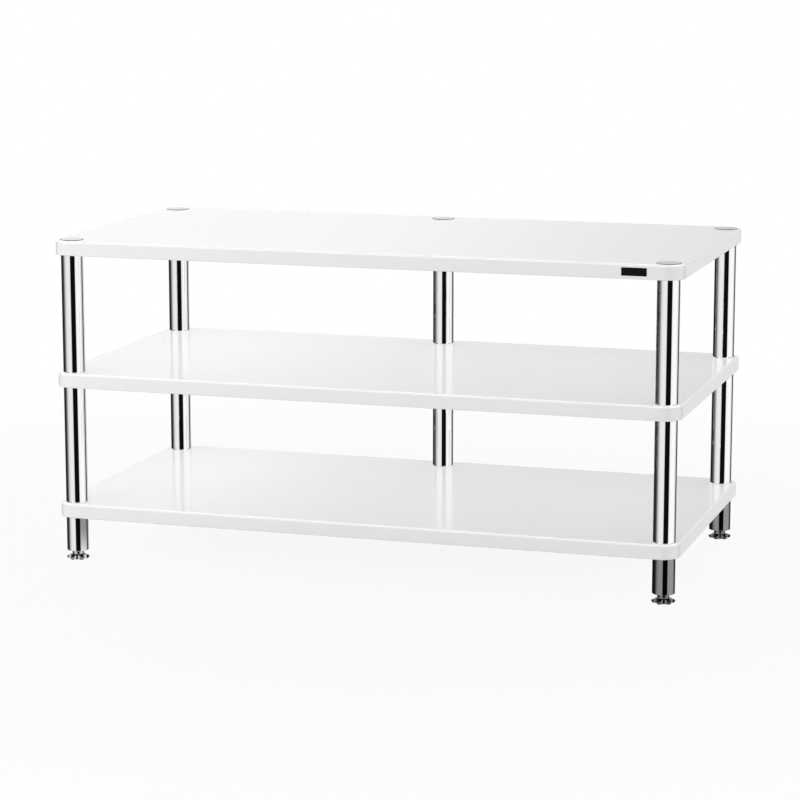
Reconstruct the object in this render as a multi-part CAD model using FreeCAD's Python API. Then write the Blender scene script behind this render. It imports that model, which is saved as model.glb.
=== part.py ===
"""Three-shelf audio rack: lacquered shelves clamped between steel tubes, on five levelling feet.

Millimetres. The origin is on the floor, below the middle of the shelves.
+X is to the right seen from the front, +Y is to the back and +Z is up.
"""

import FreeCAD
import Part

import math
import os

from FreeCAD import Vector

OUT = "parts"

# Shelves: lacquered board with rounded corners and eased edges
SHELF_WIDTH = 1100.0
SHELF_DEPTH = 550.0
SHELF_THICKNESS = 25.0
SHELF_CORNER_RADIUS = 30.0
SHELF_TOP_EDGE_RADIUS = 4.0
SHELF_BOTTOM_EDGE_RADIUS = 2.0

# Columns: the clear height of a bay is the length of the tube that stands in it
BAY_HEIGHT = 205.0
LEG_LENGTH = 62.0
COLUMN_SIDE_INSET = 27.0
COLUMN_END_INSET = 30.0
TUBE_DIAMETER = 38.0
TUBE_WALL = 2.0
TUBE_END_CHAMFER = 0.5

# Threaded plugs in both ends of every tube, and the studs that join the tubes through the shelves
PLUG_LENGTH = 18.0
PLUG_RADIAL_GAP = 0.05
THREAD_DIAMETER = 10.0
THREAD_RADIAL_GAP = 0.05
THREAD_END_CHAMFER = 1.0
STUD_ENGAGEMENT = 16.0
STUD_HOLE_GAP = 0.5

# Cover caps in the top shelf, each turned in one piece with its threaded shank
CAP_DIAMETER = 41.0
CAP_RECESS = 2.2
CAP_PROUD = 0.8
CAP_EDGE_CHAMFER = 0.5
CAP_POCKET_GAP = 0.15

# Levelling feet: a lobed hand wheel with a collar, on a threaded spindle
FOOT_HEIGHT = 16.0
FOOT_TIP_DIAMETER = 40.0
FOOT_LOBES = 6
FOOT_TURN = 17.0
FOOT_NOTCH_RADIUS = 7.5
FOOT_LOBE_ROUNDING = 2.0
FOOT_RIM_HEIGHT = 4.4
FOOT_RIM_CHAMFER = 2.8
FOOT_HUB_HEIGHT = 7.6
FOOT_COLLAR_DIAMETER = 20.0
FOOT_COLLAR_CHAMFER = 0.6
FOOT_FLARE_WIDTH = 2.0
FOOT_FLARE_HEIGHT = 2.2
FOOT_BORE_FLOOR = 4.0

# Blank badge on the front edge of the top shelf
BADGE_WIDTH = 42.0
BADGE_HEIGHT = 13.5
BADGE_THICKNESS = 0.4
BADGE_CORNER_RADIUS = 1.0
BADGE_FROM_RIGHT = 78.0

# Heights above the floor
LEG_BASE = FOOT_HEIGHT
BOTTOM_SHELF_BASE = LEG_BASE + LEG_LENGTH
LOWER_BAY_FLOOR = BOTTOM_SHELF_BASE + SHELF_THICKNESS
MIDDLE_SHELF_BASE = LOWER_BAY_FLOOR + BAY_HEIGHT
UPPER_BAY_FLOOR = MIDDLE_SHELF_BASE + SHELF_THICKNESS
TOP_SHELF_BASE = UPPER_BAY_FLOOR + BAY_HEIGHT
TOP_SURFACE = TOP_SHELF_BASE + SHELF_THICKNESS

# Column places in plan
COLUMN_X = SHELF_WIDTH / 2 - COLUMN_SIDE_INSET
COLUMN_Y = SHELF_DEPTH / 2 - COLUMN_END_INSET
COLUMNS = {
    "front_left": (-COLUMN_X, -COLUMN_Y),
    "front_right": (COLUMN_X, -COLUMN_Y),
    "rear_left": (-COLUMN_X, COLUMN_Y),
    "rear_centre": (0.0, COLUMN_Y),
    "rear_right": (COLUMN_X, COLUMN_Y),
}

THREAD_RADIUS = THREAD_DIAMETER / 2
TAPPED_RADIUS = THREAD_RADIUS + THREAD_RADIAL_GAP
STUD_HOLE_RADIUS = THREAD_RADIUS + STUD_HOLE_GAP
ORIGIN = Vector(0, 0, 0)
UP = Vector(0, 0, 1)


def cylinder(radius, low, high, place=(0.0, 0.0)):
    """Upright cylinder between two heights."""
    return Part.makeCylinder(radius, high - low, Vector(*place, low), UP)


def turned(outline):
    """Solid turned about the Z axis from the corners of its section, as (radius, height)."""
    corners = [Vector(radius, 0, height) for radius, height in outline]
    wire = Part.makePolygon(corners + corners[:1])
    return Part.Face(wire).revolve(ORIGIN, UP, 360)


def chamfered_rod(radius, low, high, chamfer):
    """Upright rod with both ends chamfered."""
    return turned(
        [
            (0, low),
            (radius - chamfer, low),
            (radius, low + chamfer),
            (radius, high - chamfer),
            (radius - chamfer, high),
            (0, high),
        ]
    )


def moved(shape, place):
    """Copy of a shape that was made on the Z axis, carried to a column's place."""
    copy = shape.copy()
    copy.translate(Vector(*place, 0))
    return copy


def rounded_plate(width, depth, thickness, corner, base):
    """Flat plate centred on the Z axis, with its four upright corners rounded."""
    plate = Part.makeBox(width, depth, thickness, Vector(-width / 2, -depth / 2, base))
    upright = [edge for edge in plate.Edges if edge.BoundBox.ZLength > thickness / 2]
    return plate.makeFillet(corner, upright)


def edges_at(shape, height):
    """The edges of a shape that lie flat at one height."""
    near = SHELF_THICKNESS / 100
    flat = [edge for edge in shape.Edges if edge.BoundBox.ZLength < near]
    return [edge for edge in flat if abs(edge.BoundBox.Center.z - height) < near]


def shelf(base):
    """Board with eased edges and a stud hole at each column."""
    board = rounded_plate(SHELF_WIDTH, SHELF_DEPTH, SHELF_THICKNESS, SHELF_CORNER_RADIUS, base)
    top = base + SHELF_THICKNESS
    board = board.makeFillet(SHELF_TOP_EDGE_RADIUS, edges_at(board, top))
    board = board.makeFillet(SHELF_BOTTOM_EDGE_RADIUS, edges_at(board, base))
    holes = [cylinder(STUD_HOLE_RADIUS, base, top, place) for place in COLUMNS.values()]
    return board.cut(holes)


def top_shelf():
    """The uppermost board has a shallow pocket for each cover cap as well."""
    radius = CAP_DIAMETER / 2 + CAP_POCKET_GAP
    floor = TOP_SURFACE - CAP_RECESS
    pockets = [cylinder(radius, floor, TOP_SURFACE, place) for place in COLUMNS.values()]
    return shelf(TOP_SHELF_BASE).cut(pockets)


def tube(low, length):
    """Steel tube with its outer end edges broken."""
    outer = TUBE_DIAMETER / 2
    inner = outer - TUBE_WALL
    high = low + length
    return turned(
        [
            (inner, low),
            (outer - TUBE_END_CHAMFER, low),
            (outer, low + TUBE_END_CHAMFER),
            (outer, high - TUBE_END_CHAMFER),
            (outer - TUBE_END_CHAMFER, high),
            (inner, high),
        ]
    )


def plug(low):
    """Threaded insert that fills the end of a tube."""
    outer = TUBE_DIAMETER / 2 - TUBE_WALL - PLUG_RADIAL_GAP
    high = low + PLUG_LENGTH
    return turned([(TAPPED_RADIUS, low), (outer, low), (outer, high), (TAPPED_RADIUS, high)])


def plug_pair(low, length):
    """The two inserts of one tube, flush with its ends."""
    return [plug(low), plug(low + length - PLUG_LENGTH)]


def stud(base):
    """Double-ended stud through one shelf, screwed into the tubes above and below it."""
    low = base - STUD_ENGAGEMENT
    high = base + SHELF_THICKNESS + STUD_ENGAGEMENT
    return chamfered_rod(THREAD_RADIUS, low, high, THREAD_END_CHAMFER)


def cap():
    """Flat cover disc with a threaded shank that clamps the top shelf to the tube below."""
    disc = CAP_DIAMETER / 2
    seat = TOP_SURFACE - CAP_RECESS
    crown = TOP_SURFACE + CAP_PROUD
    tip = TOP_SHELF_BASE - STUD_ENGAGEMENT
    return turned(
        [
            (0, tip),
            (THREAD_RADIUS - THREAD_END_CHAMFER, tip),
            (THREAD_RADIUS, tip + THREAD_END_CHAMFER),
            (THREAD_RADIUS, seat),
            (disc, seat),
            (disc, crown - CAP_EDGE_CHAMFER),
            (disc - CAP_EDGE_CHAMFER, crown),
            (0, crown),
        ]
    )


def foot_blank():
    """Turned form of the foot before its lobes are cut: base, sloping rim, flare and collar."""
    tip = FOOT_TIP_DIAMETER / 2
    collar = FOOT_COLLAR_DIAMETER / 2
    hub_edge = Vector(collar + FOOT_FLARE_WIDTH, 0, FOOT_HUB_HEIGHT)
    flare_top = Vector(collar, 0, FOOT_HUB_HEIGHT + FOOT_FLARE_HEIGHT)
    hollow = 1 - math.sqrt(0.5)
    flare_middle = Vector(
        collar + FOOT_FLARE_WIDTH * hollow,
        0,
        FOOT_HUB_HEIGHT + FOOT_FLARE_HEIGHT * hollow,
    )
    corners = [
        flare_top,
        Vector(collar, 0, FOOT_HEIGHT - FOOT_COLLAR_CHAMFER),
        Vector(collar - FOOT_COLLAR_CHAMFER, 0, FOOT_HEIGHT),
        Vector(TAPPED_RADIUS, 0, FOOT_HEIGHT),
        Vector(TAPPED_RADIUS, 0, FOOT_BORE_FLOOR),
        Vector(0, 0, FOOT_BORE_FLOOR),
        ORIGIN,
        Vector(tip - FOOT_RIM_CHAMFER, 0, 0),
        Vector(tip, 0, FOOT_RIM_CHAMFER),
        Vector(tip, 0, FOOT_RIM_HEIGHT),
        hub_edge,
    ]
    edges = [Part.makeLine(start, end) for start, end in zip(corners, corners[1:])]
    edges.append(Part.Arc(hub_edge, flare_middle, flare_top).toShape())
    return Part.Face(Part.Wire(edges)).revolve(ORIGIN, UP, 360)


def is_lobe_corner(edge, notch_places):
    """True for an upright edge where the side of a finger notch meets the outer face of a lobe."""
    box = edge.BoundBox
    near = FOOT_TIP_DIAMETER / 1000
    upright = max(box.XLength, box.YLength) < near
    on_rim = abs(math.hypot(box.Center.x, box.Center.y) - FOOT_TIP_DIAMETER / 2) < near
    reach = min(math.hypot(box.Center.x - x, box.Center.y - y) for x, y in notch_places)
    return upright and on_rim and abs(reach - FOOT_NOTCH_RADIUS) < near


def star_foot():
    """Hand wheel of the levelling foot, with finger notches between its rounded lobes."""
    tip = FOOT_TIP_DIAMETER / 2
    step = 2 * math.pi / FOOT_LOBES
    angles = [step * (k + 0.5) for k in range(FOOT_LOBES)]
    places = [(tip * math.cos(angle), tip * math.sin(angle)) for angle in angles]
    notches = [cylinder(FOOT_NOTCH_RADIUS, 0, FOOT_HEIGHT, place) for place in places]
    outline = cylinder(tip, 0, FOOT_HEIGHT, (0, 0)).cut(notches)
    notch_angle = 4 * math.asin(FOOT_NOTCH_RADIUS / (2 * tip))
    lobe_width = tip * (step - notch_angle)
    rounding = min(FOOT_LOBE_ROUNDING, 0.4 * lobe_width)
    corners = [edge for edge in outline.Edges if is_lobe_corner(edge, places)]
    star = outline.makeFillet(rounding, corners).common(foot_blank())
    star.rotate(ORIGIN, UP, FOOT_TURN)
    return star


def foot_spindle():
    """Threaded spindle that carries the foot and screws into the lower insert of the leg."""
    return chamfered_rod(THREAD_RADIUS, FOOT_BORE_FLOOR, LEG_BASE + PLUG_LENGTH, THREAD_END_CHAMFER)


def badge():
    """Blank plate on the front edge of the top shelf, towards its right end."""
    plate = rounded_plate(BADGE_WIDTH, BADGE_HEIGHT, BADGE_THICKNESS, BADGE_CORNER_RADIUS, 0)
    plate.rotate(ORIGIN, Vector(1, 0, 0), 90)
    middle_x = SHELF_WIDTH / 2 - BADGE_FROM_RIGHT
    middle_z = TOP_SHELF_BASE + SHELF_THICKNESS / 2
    plate.translate(Vector(middle_x, -SHELF_DEPTH / 2, middle_z))
    return plate


def at_columns(*shapes):
    """Copies of the shapes at every column, as one group of separate solids."""
    return Part.makeCompound([moved(shape, place) for place in COLUMNS.values() for shape in shapes])


def make_nodes():
    """Every node of the rack by name."""
    nodes = {
        "bottom_shelf": shelf(BOTTOM_SHELF_BASE),
        "middle_shelf": shelf(MIDDLE_SHELF_BASE),
        "top_shelf": top_shelf(),
        "upper_tube_plugs": at_columns(*plug_pair(UPPER_BAY_FLOOR, BAY_HEIGHT)),
        "lower_tube_plugs": at_columns(*plug_pair(LOWER_BAY_FLOOR, BAY_HEIGHT)),
        "leg_plugs": at_columns(*plug_pair(LEG_BASE, LEG_LENGTH)),
        "middle_shelf_studs": at_columns(stud(MIDDLE_SHELF_BASE)),
        "bottom_shelf_studs": at_columns(stud(BOTTOM_SHELF_BASE)),
        "front_badge": badge(),
    }
    column_pieces = {
        "upper_tube": tube(UPPER_BAY_FLOOR, BAY_HEIGHT),
        "lower_tube": tube(LOWER_BAY_FLOOR, BAY_HEIGHT),
        "leg": tube(LEG_BASE, LEG_LENGTH),
        "cap": cap(),
        "foot_spindle": foot_spindle(),
        "star_foot": star_foot(),
    }
    for column, place in COLUMNS.items():
        for piece, shape in column_pieces.items():
            nodes[f"{piece}_{column}"] = moved(shape, place)
    return nodes


def main():
    os.makedirs(OUT, exist_ok=True)
    for name, shape in make_nodes().items():
        if not shape.isValid() or any(solid.Volume <= 0 for solid in shape.Solids):
            raise ValueError(f"{name} is not a sound solid")
        shape.exportStep(os.path.join(OUT, f"{name}.step"))


main()
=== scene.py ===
"""Looks of the audio rack: gloss white shelves on polished steel columns.

Lengths are in metres, in the frame of the CAD.
"""

import math

import bpy
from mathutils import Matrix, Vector


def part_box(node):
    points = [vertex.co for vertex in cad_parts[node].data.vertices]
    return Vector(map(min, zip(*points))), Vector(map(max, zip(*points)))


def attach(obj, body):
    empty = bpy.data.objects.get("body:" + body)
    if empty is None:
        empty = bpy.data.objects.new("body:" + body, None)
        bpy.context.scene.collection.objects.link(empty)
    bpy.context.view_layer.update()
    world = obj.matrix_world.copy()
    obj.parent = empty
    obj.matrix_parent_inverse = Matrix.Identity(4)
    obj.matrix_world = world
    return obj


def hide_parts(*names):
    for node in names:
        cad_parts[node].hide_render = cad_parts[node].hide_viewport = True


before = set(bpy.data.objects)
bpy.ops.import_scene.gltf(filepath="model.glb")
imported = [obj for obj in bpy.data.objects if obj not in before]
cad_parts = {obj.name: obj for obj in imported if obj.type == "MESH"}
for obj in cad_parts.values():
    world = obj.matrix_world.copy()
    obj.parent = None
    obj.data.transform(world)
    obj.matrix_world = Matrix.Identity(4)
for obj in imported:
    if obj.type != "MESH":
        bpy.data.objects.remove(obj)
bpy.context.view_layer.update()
scene = bpy.context.scene
scene.view_settings.view_transform = "Standard"

COLUMNS = ("front_left", "front_right", "rear_left", "rear_centre", "rear_right")
WHITE = (1, 1, 1, 1)
# nearly all of a noise texture lies between these values
NOISE_SPAN = (0.3, 0.7)
# sockets of a mix node that hold colours
MIX_FIRST, MIX_SECOND, MIX_RESULT = 6, 7, 2


def add(tree, kind, inputs=None, **settings):
    """One node, with its inputs set to values or linked to sockets."""
    node = tree.nodes.new(kind)
    for name, value in settings.items():
        setattr(node, name, value)
    for name, value in (inputs or {}).items():
        if isinstance(value, bpy.types.NodeSocket):
            tree.links.new(value, node.inputs[name])
        else:
            node.inputs[name].default_value = value
    return node


def math_node(tree, operation, *values):
    """The result of a math node on sockets or numbers."""
    return add(tree, "ShaderNodeMath", dict(enumerate(values)), operation=operation).outputs[0]


def length(tree, vector):
    """The length of a vector."""
    return add(tree, "ShaderNodeVectorMath", {0: vector}, operation="LENGTH").outputs["Value"]


def parts(tree, vector):
    """The X, Y and Z outputs of a vector."""
    return add(tree, "ShaderNodeSeparateXYZ", {"Vector": vector}).outputs


def stretched(tree, vector, scale):
    """A vector scaled along each axis."""
    return add(tree, "ShaderNodeMapping", {"Vector": vector, "Scale": scale}).outputs["Vector"]


def spread(tree, value, span, to=(0, 1), smooth=True):
    """Maps a value from one span to another, held at the ends."""
    inputs = {"Value": value, "From Min": span[0], "From Max": span[1], "To Min": to[0], "To Max": to[1]}
    kind = "SMOOTHSTEP" if smooth else "LINEAR"
    return add(tree, "ShaderNodeMapRange", inputs, interpolation_type=kind).outputs["Result"]


def grey(level):
    """An opaque grey."""
    return (level, level, level, 1)


def ramp(tree, factor, stops):
    """A grey ramp from rising (position, level) stops."""
    node = add(tree, "ShaderNodeValToRGB", {"Fac": factor})
    elements = node.color_ramp.elements
    elements.remove(elements[1])
    for index, (position, level) in enumerate(stops):
        element = elements.new(position) if index else elements[0]
        element.position = position
        element.color = grey(level)
    return node.outputs["Color"]


def mixed(tree, share, first, second):
    """Goes over from the first colour to the second as the share goes from 0 to 1."""
    inputs = {"Factor": share, MIX_FIRST: first, MIX_SECOND: second}
    return add(tree, "ShaderNodeMix", inputs, data_type="RGBA").outputs[MIX_RESULT]


def mixed_shaders(tree, share, first, second):
    """Goes over from the first shader to the second as the share goes from 0 to 1."""
    return add(tree, "ShaderNodeMixShader", {0: share, 1: first, 2: second}).outputs[0]


def noise(tree, vector, scale, detail, roughness=0.5):
    """A soft noise in three dimensions."""
    inputs = {"Vector": vector, "Scale": scale, "Detail": detail, "Roughness": roughness}
    return add(tree, "ShaderNodeTexNoise", inputs).outputs["Fac"]


def shades(tree, texture, dark, light):
    """A grey that follows a noise from dark to light."""
    return ramp(tree, texture, list(zip(NOISE_SPAN, (dark, light))))


def new_material(name):
    """A material with its tree, its shader and its texture coordinates."""
    material = bpy.data.materials.new(name)
    material.use_nodes = True
    tree = material.node_tree
    return material, tree, tree.nodes["Principled BSDF"], add(tree, "ShaderNodeTexCoord").outputs


def dress(tree, shader, shade, roughness, height, strength, depth):
    """Gives a shader its colour, its roughness and a bump from a height."""
    bump = add(tree, "ShaderNodeBump", {"Height": height, "Strength": strength, "Distance": depth})
    tree.links.new(shade, shader.inputs["Base Color"])
    tree.links.new(roughness, shader.inputs["Roughness"])
    tree.links.new(bump.outputs["Normal"], shader.inputs["Normal"])


def white_lacquer():
    """Sprayed gloss lacquer: a faint orange peel, and gloss that varies a little."""
    material, tree, shader, coordinates = new_material("gloss_white_lacquer")
    place = coordinates["Object"]
    shade = shades(tree, noise(tree, place, scale=6, detail=3), dark=0.93, light=0.94)
    roughness = spread(tree, noise(tree, place, scale=40, detail=4), NOISE_SPAN, (0.12, 0.135))
    peel = noise(tree, place, scale=220, detail=1)
    dress(tree, shader, shade, roughness, height=peel, strength=0.008, depth=0.0004)
    return material


def steel(name, level, rough, ring_scale):
    """Turned and polished steel with fine rings round its axis."""
    material, tree, shader, coordinates = new_material(name)
    along_axis = stretched(tree, coordinates["Generated"], (0, 0, ring_scale))
    rings = noise(tree, along_axis, scale=1, detail=3, roughness=0.6)
    cloud = noise(tree, coordinates["Object"], scale=45, detail=3)
    shade = shades(tree, rings, dark=0.97 * level, light=level)
    roughness = spread(tree, cloud, NOISE_SPAN, (0.8 * rough, 1.2 * rough))
    shader.inputs["Metallic"].default_value = 1
    dress(tree, shader, shade, roughness, height=rings, strength=0.008, depth=0.0002)
    return material


def foot_steel():
    """Turned steel with painted shade where it faces up or down, standing in for the shaded shelf underside
    and floor it would mirror, and polished on its upright sides.
    """
    material = steel("polished_foot_steel_painted_shade", level=0.60, rough=0.12, ring_scale=12)
    tree = material.node_tree
    base_colour = tree.nodes["Principled BSDF"].inputs["Base Color"]
    polished = base_colour.links[0].from_socket
    # painted shade: faces turned up or down go dark, in place of the shaded shelf underside and floor they
    # would mirror
    painted_shade_grey = grey(0.05)
    normal = add(tree, "ShaderNodeNewGeometry").outputs["Normal"]
    tilt = math_node(tree, "ABSOLUTE", parts(tree, normal)["Z"])
    share = spread(tree, tilt, (0.05, 0.35))
    tree.links.new(mixed(tree, share, polished, painted_shade_grey), base_colour)
    return material


def satin_steel():
    """Face turned discs: fine rings round the middle of each disc, and a dark edge of painted shade for the
    gap round the disc.
    """
    material, tree, shader, coordinates = new_material("satin_turned_steel")
    disc_middle = (0.5, 0.5, 0)
    offset = {0: coordinates["Generated"], 1: disc_middle}
    centred = add(tree, "ShaderNodeVectorMath", offset, operation="SUBTRACT").outputs["Vector"]
    radius = length(tree, stretched(tree, centred, (1, 1, 0)))
    turning = {"W": radius, "Scale": 160, "Detail": 3}
    rings = add(tree, "ShaderNodeTexNoise", turning, noise_dimensions="1D").outputs["Fac"]
    face = shades(tree, rings, dark=0.30, light=0.34)
    # painted shade: a dark ring at the rim stands in for the shadow in the gap round the cap
    painted_gap_shade = grey(0.04)
    shade = mixed(tree, spread(tree, radius, (0.465, 0.48)), face, painted_gap_shade)
    roughness = spread(tree, rings, NOISE_SPAN, (0.14, 0.20))
    shader.inputs["Metallic"].default_value = 1
    dress(tree, shader, shade, roughness, height=rings, strength=0.1, depth=0.0002)
    return material


def black_badge():
    """Black lacquered metal plate."""
    material, tree, shader, coordinates = new_material("black_lacquered_plate")
    place = coordinates["Object"]
    shade = shades(tree, noise(tree, place, scale=500, detail=3), dark=0.003, light=0.005)
    roughness = spread(tree, noise(tree, place, scale=900, detail=2), NOISE_SPAN, (0.28, 0.36))
    grain = noise(tree, place, scale=1500, detail=2)
    shader.inputs["Specular IOR Level"].default_value = 0.06
    dress(tree, shader, shade, roughness, height=grain, strength=0.08, depth=0.0001)
    return material


looks = {
    "white_lacquer": white_lacquer(),
    "polished_steel": steel("polished_tube_steel", level=0.90, rough=0.05, ring_scale=90),
    "foot_steel": foot_steel(),
    "satin_steel": satin_steel(),
    "plain_steel": steel("plain_turned_steel", level=0.60, rough=0.28, ring_scale=30),
    "black_badge": black_badge(),
}
for name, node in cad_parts.items():
    for slot in node.material_slots:
        slot.material = looks[slot.material.name]
    # the tubes mirror no shelf
    if name.endswith("_shelf"):
        node.visible_glossy = False


# metric screw thread, with its flats as shares of the pitch
THREAD_PITCH = 0.0015
THREAD_CREST_RADIUS = 0.00496
THREAD_ROOT_RADIUS = 0.00404
THREAD_CREST_FLAT = 1 / 8
THREAD_ROOT_FLAT = 1 / 4
# how far the closed ends lie inside the root
THREAD_END_DROP = 0.0002
THREAD_STEPS_PER_TURN = 36
THREAD_ROWS_PER_PITCH = 8


def thread_radius(turns):
    """Radius at a place along the thread, counted in turns: root flat, flank, crest flat, flank."""
    from_root = 1 - 2 * abs(turns % 1 - 0.5)
    flank = 1 - THREAD_ROOT_FLAT - THREAD_CREST_FLAT
    rise = min(max((from_root - THREAD_ROOT_FLAT) / flank, 0), 1)
    return THREAD_ROOT_RADIUS + (THREAD_CREST_RADIUS - THREAD_ROOT_RADIUS) * rise


def threaded_spindle(name, place, low, high):
    """A right-hand screw thread between two heights, chamfered and closed at both ends."""
    rows = round((high - low) / THREAD_PITCH * THREAD_ROWS_PER_PITCH)
    steps = THREAD_STEPS_PER_TURN
    points = []
    for row in range(rows + 1):
        height = low + (high - low) * row / rows
        end_limit = THREAD_ROOT_RADIUS - THREAD_END_DROP + min(height - low, high - height)
        for step in range(steps):
            radius = min(thread_radius(height / THREAD_PITCH - step / steps), end_limit)
            angle = 2 * math.pi * step / steps
            points.append((place[0] + radius * math.cos(angle), place[1] + radius * math.sin(angle), height))
    faces = []
    for row in range(rows):
        below, above = row * steps, (row + 1) * steps
        for step in range(steps):
            after = (step + 1) % steps
            faces.append((below + step, below + after, above + after, above + step))
    faces.append(tuple(reversed(range(steps))))
    faces.append(tuple(range(rows * steps, (rows + 1) * steps)))
    mesh = bpy.data.meshes.new(name)
    mesh.from_pydata(points, [], faces)
    for polygon in mesh.polygons:
        polygon.use_smooth = len(polygon.vertices) == 4
    mesh.materials.append(looks["plain_steel"])
    spindle = bpy.data.objects.new(name, mesh)
    scene.collection.objects.link(spindle)
    return spindle


for column in COLUMNS:
    lowest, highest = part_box("foot_spindle_" + column)
    middle = [(low + high) / 2 for low, high in zip(lowest, highest)]
    spindle = threaded_spindle("thread_" + column, middle, lowest[2], highest[2])
    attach(spindle, "spindle_" + column)
    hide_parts("foot_spindle_" + column)


# camera at the photograph's viewing angle, with its lens in millimetres and its angles in degrees
CAMERA_PLACE = (1.4243, -4.5944, 1.1478)
CAMERA_LOOKS_DOWN = 10.371
CAMERA_TURN = 17.308
CAMERA_LENS = 124.44
CAMERA_SENSOR = 36

camera_data = bpy.data.cameras.new("camera")
camera_data.sensor_width = CAMERA_SENSOR
camera_data.lens = CAMERA_LENS
camera = bpy.data.objects.new("camera", camera_data)
camera.location = CAMERA_PLACE
camera.rotation_euler = (math.radians(90 - CAMERA_LOOKS_DOWN), 0, math.radians(CAMERA_TURN))
scene.collection.objects.link(camera)
scene.camera = camera


# greys round the rack, as (degrees from the X axis, level) stops
FLAGS = [
    (-180, 0.03), (-170, 0.1), (-155, 0.45), (-143, 0.8), (-120, 0.95), (-91.5, 0.9),
    (-87.7, 0.004), (-41.5, 0.004), (-36, 1.03), (0, 1.1), (20, 1.05), (34, 0.8),
    (46, 0.12), (58, 0.03), (68, 0.03), (72, 0.8), (87, 0.8), (91, 0.03),
    (96, 0.03), (102, 0.85), (120, 0.85), (126, 0.02), (143, 0.015), (180, 0.03),
]
WALL = [
    (-180, 0.8), (-168, 0.85), (-156, 1.2), (-96, 1.2), (-90, 0.82), (-56, 0.82), (-48, 1.25),
    (20, 1.25), (60, 1.05), (80, 0.72), (91, 0.76), (94, 0.87), (96, 0.93), (97.5, 1.0),
    (99, 1.08), (100.3, 1.14), (103, 1.17), (108, 1.19), (150, 1.22), (165, 0.85), (180, 0.8),
]
UPPER_WALL = [(-180, 1.42), (-150, 1.0), (-30, 1.0), (-10, 1.18), (60, 1.28), (75, 1.42), (180, 1.42)]
CARDS = [
    (-180, 0), (-163, 0), (-150, 0.2), (-84, 0.2), (-78, 0),
    (-44, 0), (-38, 0.2), (40, 0.2), (55, 0), (180, 0),
]
# elevations in degrees between which one part of the surroundings goes over to the next
HORIZON = (-0.7, 0.5)
WALL_RISE = (7, 13)
WALL_TOP = (14, 19)
UPPER_WALL_TOP = (36, 46)
CEILING_EDGE = (28, 38)
CEILING_FADE = (46, 60)
CARD_FOOT = (0.5, 3)
# levels of the surroundings
WALL_RISE_GAIN = 1.27
OVERHEAD_LEVEL = 0.3
CEILING_STRENGTH = 7
CEILING_OVERHEAD_SHARE = 0.5


def surroundings():
    """White studio for the camera; for light and reflections, bright walls above dark flags.

    A bright ceiling and pale cards are added in reflections alone.
    """
    world = bpy.data.worlds.new("studio")
    scene.world = world
    world.use_nodes = True
    tree = world.node_tree
    tree.nodes.clear()
    direction = parts(tree, add(tree, "ShaderNodeTexCoord").outputs["Generated"])
    azimuth = math_node(tree, "ARCTAN2", direction["Y"], direction["X"])
    elevation = math_node(tree, "ARCSINE", direction["Z"])
    path = add(tree, "ShaderNodeLightPath").outputs

    def sweep(angle, stops):
        """Grey by an angle round the rack, from (degrees, level) stops."""
        turn = spread(tree, angle, (-math.pi, math.pi), smooth=False)
        return ramp(tree, turn, [((degrees + 180) / 360, level) for degrees, level in stops])

    def rising(band, to=(0, 1), smooth=True):
        """A number that changes with the elevation, over a band in degrees."""
        return spread(tree, elevation, [math.radians(degrees) for degrees in band], to, smooth)

    # the shades of the wall lean, and get brighter with the height
    slanted = math_node(tree, "SUBTRACT", azimuth, elevation)
    gain = {0: sweep(slanted, WALL), "Scale": rising(WALL_RISE, (1, WALL_RISE_GAIN), smooth=False)}
    wall = add(tree, "ShaderNodeVectorMath", gain, operation="SCALE").outputs["Vector"]
    upper = mixed(tree, rising(UPPER_WALL_TOP), sweep(azimuth, UPPER_WALL), grey(OVERHEAD_LEVEL))
    above = mixed(tree, rising(WALL_TOP), wall, upper)
    sky = mixed(tree, rising(HORIZON), sweep(azimuth, FLAGS), above)

    ceiling_shape = rising(CEILING_FADE, (1, CEILING_OVERHEAD_SHARE))
    ceiling = math_node(tree, "MULTIPLY", rising(CEILING_EDGE, (0, CEILING_STRENGTH)), ceiling_shape)
    cards = math_node(tree, "MULTIPLY", sweep(azimuth, CARDS), rising(CARD_FOOT))
    before_diffuse = math_node(tree, "LESS_THAN", path["Diffuse Depth"], 0.5)
    mirrored = math_node(tree, "MULTIPLY", path["Is Glossy Ray"], before_diffuse)
    strength = math_node(tree, "MULTIPLY", math_node(tree, "ADD", ceiling, cards), mirrored)

    seen = add(tree, "ShaderNodeBackground", {"Color": WHITE}).outputs[0]
    walls = add(tree, "ShaderNodeBackground", {"Color": sky}).outputs[0]
    lamps = add(tree, "ShaderNodeBackground", {"Color": WHITE, "Strength": strength}).outputs[0]
    lit = add(tree, "ShaderNodeAddShader", {0: walls, 1: lamps}).outputs[0]
    surface = mixed_shaders(tree, path["Is Camera Ray"], lit, seen)
    add(tree, "ShaderNodeOutputWorld", {"Surface": surface})


surroundings()


FLOOR_REACH = 40.0
FLOOR_LEVEL = 0.9
# distances from the origin over which the floor's shadow fades out, and how clear the floor is near it
SHADOW_FADE = (0.6, 2.2)
SHADOW_CLEARNESS = 0.9
# painted shadow seen in reflections: the veil gets darker between these places on the X axis, in place of
# the floor in the rack's shadow, and ends just below the bottom shelf
PAINTED_SHADE_SIDE = (-0.56, -0.26)
PAINTED_SHADE_TONE = 0.3
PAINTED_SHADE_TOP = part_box("bottom_shelf")[0][2] - 0.0002


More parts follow.
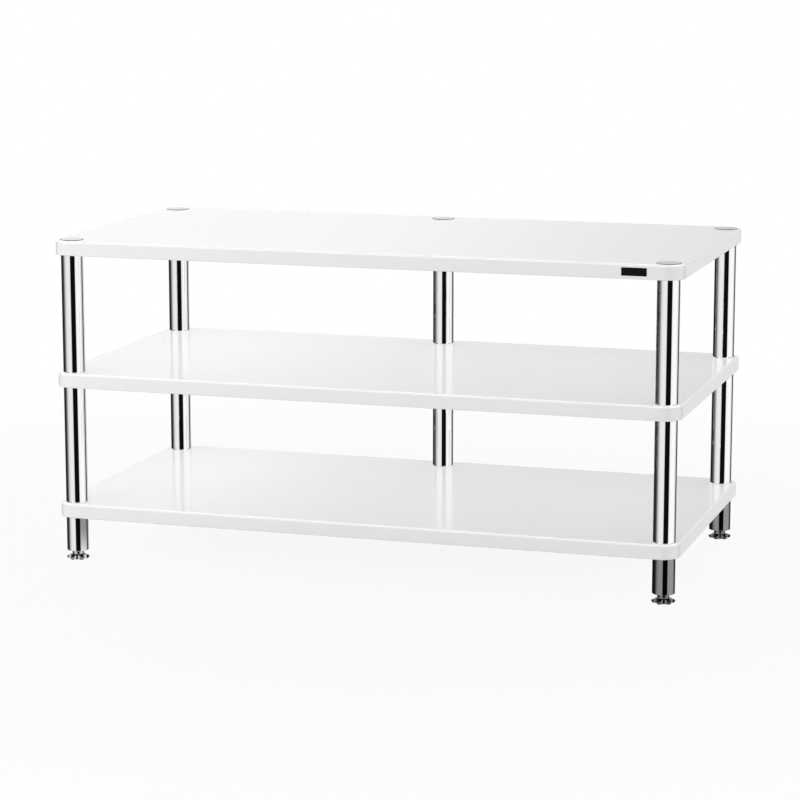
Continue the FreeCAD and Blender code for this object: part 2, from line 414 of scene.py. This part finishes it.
def floor():
    """A white floor that keeps a faint shadow, and lets the white studio and a lowered foot show through.

    In reflections it is clear, apart from a grey veil of painted shadow, in place of the shaded floor under
    the rack, that the legs and feet towards its right side see.
    """
    corners = [(x * FLOOR_REACH, y * FLOOR_REACH, 0) for x, y in ((-1, -1), (1, -1), (1, 1), (-1, 1))]
    mesh = bpy.data.meshes.new("floor")
    mesh.from_pydata(corners, [], [(0, 1, 2, 3)])
    plane = bpy.data.objects.new("floor", mesh)
    scene.collection.objects.link(plane)
    material = bpy.data.materials.new("floor")
    material.use_nodes = True
    tree = material.node_tree
    tree.nodes.clear()
    place = add(tree, "ShaderNodeTexCoord").outputs["Object"]
    path = add(tree, "ShaderNodeLightPath").outputs

    clearness = spread(tree, length(tree, place), SHADOW_FADE, (SHADOW_CLEARNESS, 1))
    share = math_node(tree, "MULTIPLY", clearness, path["Is Camera Ray"])
    paint = add(tree, "ShaderNodeBsdfDiffuse", {"Color": grey(FLOOR_LEVEL)}).outputs[0]
    clear = add(tree, "ShaderNodeBsdfTransparent", {"Color": WHITE}).outputs[0]
    plain = mixed_shaders(tree, share, paint, clear)

    # height of the point that mirrors the floor, from the ray's length and slope
    slant = add(tree, "ShaderNodeLayerWeight", {"Blend": 0.5}).outputs["Facing"]
    slope = math_node(tree, "SUBTRACT", 1, slant)
    height = math_node(tree, "MULTIPLY", path["Ray Length"], slope)
    too_high = math_node(tree, "GREATER_THAN", height, PAINTED_SHADE_TOP)
    # painted shadow: the mirrored floor gets darker towards the right, below the bottom shelf's height
    painted_shade_tone = spread(tree, parts(tree, place)["X"], PAINTED_SHADE_SIDE, (1, PAINTED_SHADE_TONE))
    painted_shade_tone = math_node(tree, "MAXIMUM", painted_shade_tone, too_high)
    painted_shade_veil = add(tree, "ShaderNodeBsdfTransparent", {"Color": painted_shade_tone}).outputs[0]

    surface = mixed_shaders(tree, path["Is Glossy Ray"], plain, painted_shade_veil)
    add(tree, "ShaderNodeOutputMaterial", {"Surface": surface})
    mesh.materials.append(material)


floor()


def softbox(name, place, target, size, power):
    """A rectangular lamp that is aimed at a point and shows in no reflection."""
    data = bpy.data.lights.new(name, "AREA")
    data.shape = "RECTANGLE"
    data.size, data.size_y = size
    data.energy = power
    lamp = bpy.data.objects.new(name, data)
    lamp.location = place
    lamp.rotation_euler = (Vector(target) - Vector(place)).to_track_quat("-Z", "Y").to_euler()
    lamp.visible_glossy = False
    scene.collection.objects.link(lamp)


softbox("left_softbox", place=(-1.6, -1.45, 0.8), target=(-0.35, 0, 0.4), size=(0.9, 0.8), power=5.4)
